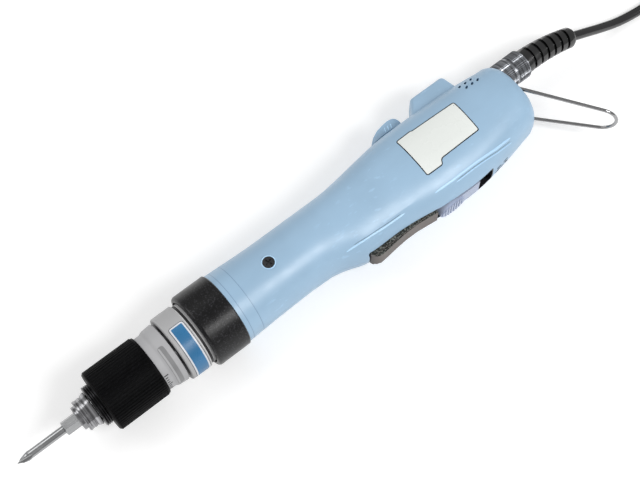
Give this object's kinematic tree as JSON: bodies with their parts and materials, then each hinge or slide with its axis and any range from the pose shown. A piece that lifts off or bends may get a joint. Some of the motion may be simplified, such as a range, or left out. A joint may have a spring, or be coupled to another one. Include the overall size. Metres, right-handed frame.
{
  "type": "electric torque screwdriver",
  "caption": "Straight electric torque screwdriver with a start lever, torque collar and scale, quick-change bit chuck, hanging bail and a round-plug supply cord.",
  "frame": {"origin": "on the drive axis, at the middle of the nose nut", "axes": "+X along the drive axis to the bit, +Y to the start lever, +Z to the face with the label plate; the tool lies on its -Z side"},
  "size_m": [0.4789, 0.1283, 0.0382],
  "materials": {
    "housing_blue": "moulded plastic, light steel blue, semi-gloss",
    "nut_black": "moulded plastic, black, semi-gloss",
    "case_grey": "turned, satin",
    "scale_grey": "turned, satin, with a darker marking band",
    "collar_black": "black, ribbed along its length",
    "tube_black": "turned steel, blackened",
    "chrome": "polished",
    "steel": "machined",
    "dark_steel": "steel, black oxide",
    "spring_steel": "drawn wire",
    "bronze": "sintered bronze",
    "copper": "copper segments",
    "core_iron": "laminated core with varnished windings",
    "ferrite": "ferrite magnet",
    "carbon": "carbon",
    "gear_steel": "hardened gear steel",
    "motor_zinc": "zinc plated",
    "cap_black": "moulded plastic, black",
    "lever_grey": "fine-textured, brownish grey",
    "knob_blue": "moulded plastic, lavender blue",
    "switch_black": "moulded plastic",
    "board_green": "circuit board",
    "ring_knurled": "knurled and satin plated",
    "socket_metal": "plated",
    "boot_rubber": "ribbed rubber",
    "cord_black": "smooth jacket, glossy black",
    "plug_black": "moulded plastic, black",
    "tie_black": "strap"
  },
  "bodies": {
    "tool_body": {"left_housing": "housing_blue", "right_housing": "housing_blue", "housing_screws": "dark_steel", "front_screws": "dark_steel", "nose_nut": "nut_black", "gear_case": "case_grey", "ring_gear": "gear_steel", "clutch_tube": "tube_black", "scale_ring": "scale_grey", "spindle_bush": "bronze", "motor_can": "motor_zinc", "motor_magnets": "ferrite", "motor_front_plate": "motor_zinc", "motor_end_cap": "cap_black", "motor_bearings": "steel", "brushes": "carbon", "output_bearing": "steel", "lever_pin": "steel", "lever_spring": "spring_steel", "start_switch": "switch_black", "direction_switch": "switch_black", "mode_switch": "switch_black", "circuit_board": "board_green", "connector_socket": "socket_metal", "cord_boot": "boot_rubber", "cord_cable": "cord_black", "cord_coil": "cord_black", "cord_plug": "plug_black", "coil_tie": "tie_black"},
    "motor_rotor": {"rotor": "core_iron", "commutator": "copper", "sun_gear_1": "gear_steel"},
    "first_carrier": {"carrier_1": "gear_steel", "planet_pins_1": "steel", "sun_gear_2": "gear_steel"},
    "planet_gear_1a": {"planet_1a": "gear_steel"},
    "planet_gear_1b": {"planet_1b": "gear_steel"},
    "planet_gear_1c": {"planet_1c": "gear_steel"},
    "drive_output": {"carrier_2": "gear_steel", "planet_pins_2": "steel", "clutch_cam": "steel", "clutch_balls": "chrome", "pressure_ring": "steel", "clutch_spring": "spring_steel", "spindle": "steel", "bit": "chrome", "bit_ball": "chrome", "sleeve_spring": "spring_steel", "sleeve_clip": "spring_steel"},
    "planet_gear_2a": {"planet_2a": "gear_steel"},
    "planet_gear_2b": {"planet_2b": "gear_steel"},
    "planet_gear_2c": {"planet_2c": "gear_steel"},
    "chuck_sleeve": {"bit_sleeve": "dark_steel"},
    "preload_seat": {"spring_seat": "steel"},
    "adjuster_collar": {"torque_collar": "collar_black"},
    "lever": {"start_lever": "lever_grey"},
    "direction_knob": {"direction_slider": "knob_blue"},
    "mode_knob": {"mode_slider": "knob_blue"},
    "hanging_bail": {"bail": "chrome"},
    "cord_ring": {"coupling_ring": "ring_knurled"}
  },
  "joints": [
    {"name": "rotor_spin", "type": "hinge", "parent": "tool_body", "child": "motor_rotor", "pos_m": [-0.0655, 0, 0], "axis": [1, 0, 0], "continuous": true},
    {"name": "first_carrier_spin", "type": "hinge", "parent": "tool_body", "child": "first_carrier", "pos_m": [-0.0186, 0, 0], "axis": [1, 0, 0], "continuous": true},
    {"name": "output_spin", "type": "hinge", "parent": "tool_body", "child": "drive_output", "pos_m": [0.05, 0, 0], "axis": [1, 0, 0], "continuous": true},
    {"name": "planet_1a_spin", "type": "hinge", "parent": "first_carrier", "child": "planet_gear_1a", "pos_m": [-0.0236, 0.009, 0], "axis": [1, 0, 0], "continuous": true},
    {"name": "planet_1b_spin", "type": "hinge", "parent": "first_carrier", "child": "planet_gear_1b", "pos_m": [-0.0236, -0.0045, 0.00779], "axis": [1, 0, 0], "continuous": true},
    {"name": "planet_1c_spin", "type": "hinge", "parent": "first_carrier", "child": "planet_gear_1c", "pos_m": [-0.0236, -0.0045, -0.00779], "axis": [1, 0, 0], "continuous": true},
    {"name": "planet_2a_spin", "type": "hinge", "parent": "drive_output", "child": "planet_gear_2a", "pos_m": [-0.0122, 0.009, 0], "axis": [1, 0, 0], "continuous": true},
    {"name": "planet_2b_spin", "type": "hinge", "parent": "drive_output", "child": "planet_gear_2b", "pos_m": [-0.0122, -0.0045, 0.00779], "axis": [1, 0, 0], "continuous": true},
    {"name": "planet_2c_spin", "type": "hinge", "parent": "drive_output", "child": "planet_gear_2c", "pos_m": [-0.0122, -0.0045, -0.00779], "axis": [1, 0, 0], "continuous": true},
    {"name": "sleeve_slide", "type": "slide", "parent": "drive_output", "child": "chuck_sleeve", "axis": [1, 0, 0], "range_m": [0, 0.0018], "stiffness_N_per_m": 900, "springref_m": -0.0015, "deforming": ["sleeve_spring"]},
    {"name": "preload_slide", "type": "slide", "parent": "tool_body", "child": "preload_seat", "axis": [1, 0, 0], "range_m": [-0.003, 0.0015], "deforming": ["clutch_spring"]},
    {"name": "collar_turn", "type": "hinge", "parent": "preload_seat", "child": "adjuster_collar", "pos_m": [0.048, 0, 0], "axis": [1, 0, 0], "range_deg": [-720, 360]},
    {"name": "lever_press", "type": "hinge", "parent": "tool_body", "child": "lever", "pos_m": [-0.1115, 0.0186, 0], "axis": [0, 0, 1], "range_deg": [-4.5, 0], "stiffness_Nm_per_rad": 1.2, "springref_deg": 4.58, "deforming": ["lever_spring"]},
    {"name": "direction_slide", "type": "slide", "parent": "tool_body", "child": "direction_knob", "axis": [-1, 0, 0], "range_m": [0, 0.008]},
    {"name": "mode_slide", "type": "slide", "parent": "tool_body", "child": "mode_knob", "axis": [-1, 0, 0], "range_m": [0, 0.004]},
    {"name": "bail_swing", "type": "hinge", "parent": "tool_body", "child": "hanging_bail", "pos_m": [-0.1856, 0.0014, 0], "axis": [0, 0, 1], "range_deg": [0, 56]},
    {"name": "coupling_turn", "type": "hinge", "parent": "tool_body", "child": "cord_ring", "pos_m": [-0.1965, -0.0119, 0], "axis": [1, 0, 0], "range_deg": [0, 60]}
  ],
  "couplings": [
    {"joint": "first_carrier_spin", "follows": "rotor_spin", "ratio": 0.3},
    {"joint": "output_spin", "follows": "rotor_spin", "ratio": 0.09},
    {"joint": "planet_1a_spin", "follows": "rotor_spin", "ratio": -1.05},
    {"joint": "planet_1b_spin", "follows": "rotor_spin", "ratio": -1.05},
    {"joint": "planet_1c_spin", "follows": "rotor_spin", "ratio": -1.05},
    {"joint": "planet_2a_spin", "follows": "rotor_spin", "ratio": -0.315},
    {"joint": "planet_2b_spin", "follows": "rotor_spin", "ratio": -0.315},
    {"joint": "planet_2c_spin", "follows": "rotor_spin", "ratio": -0.315},
    {"joint": "preload_slide", "follows": "collar_turn", "m_per_rad": 0.00023873}
  ]
}
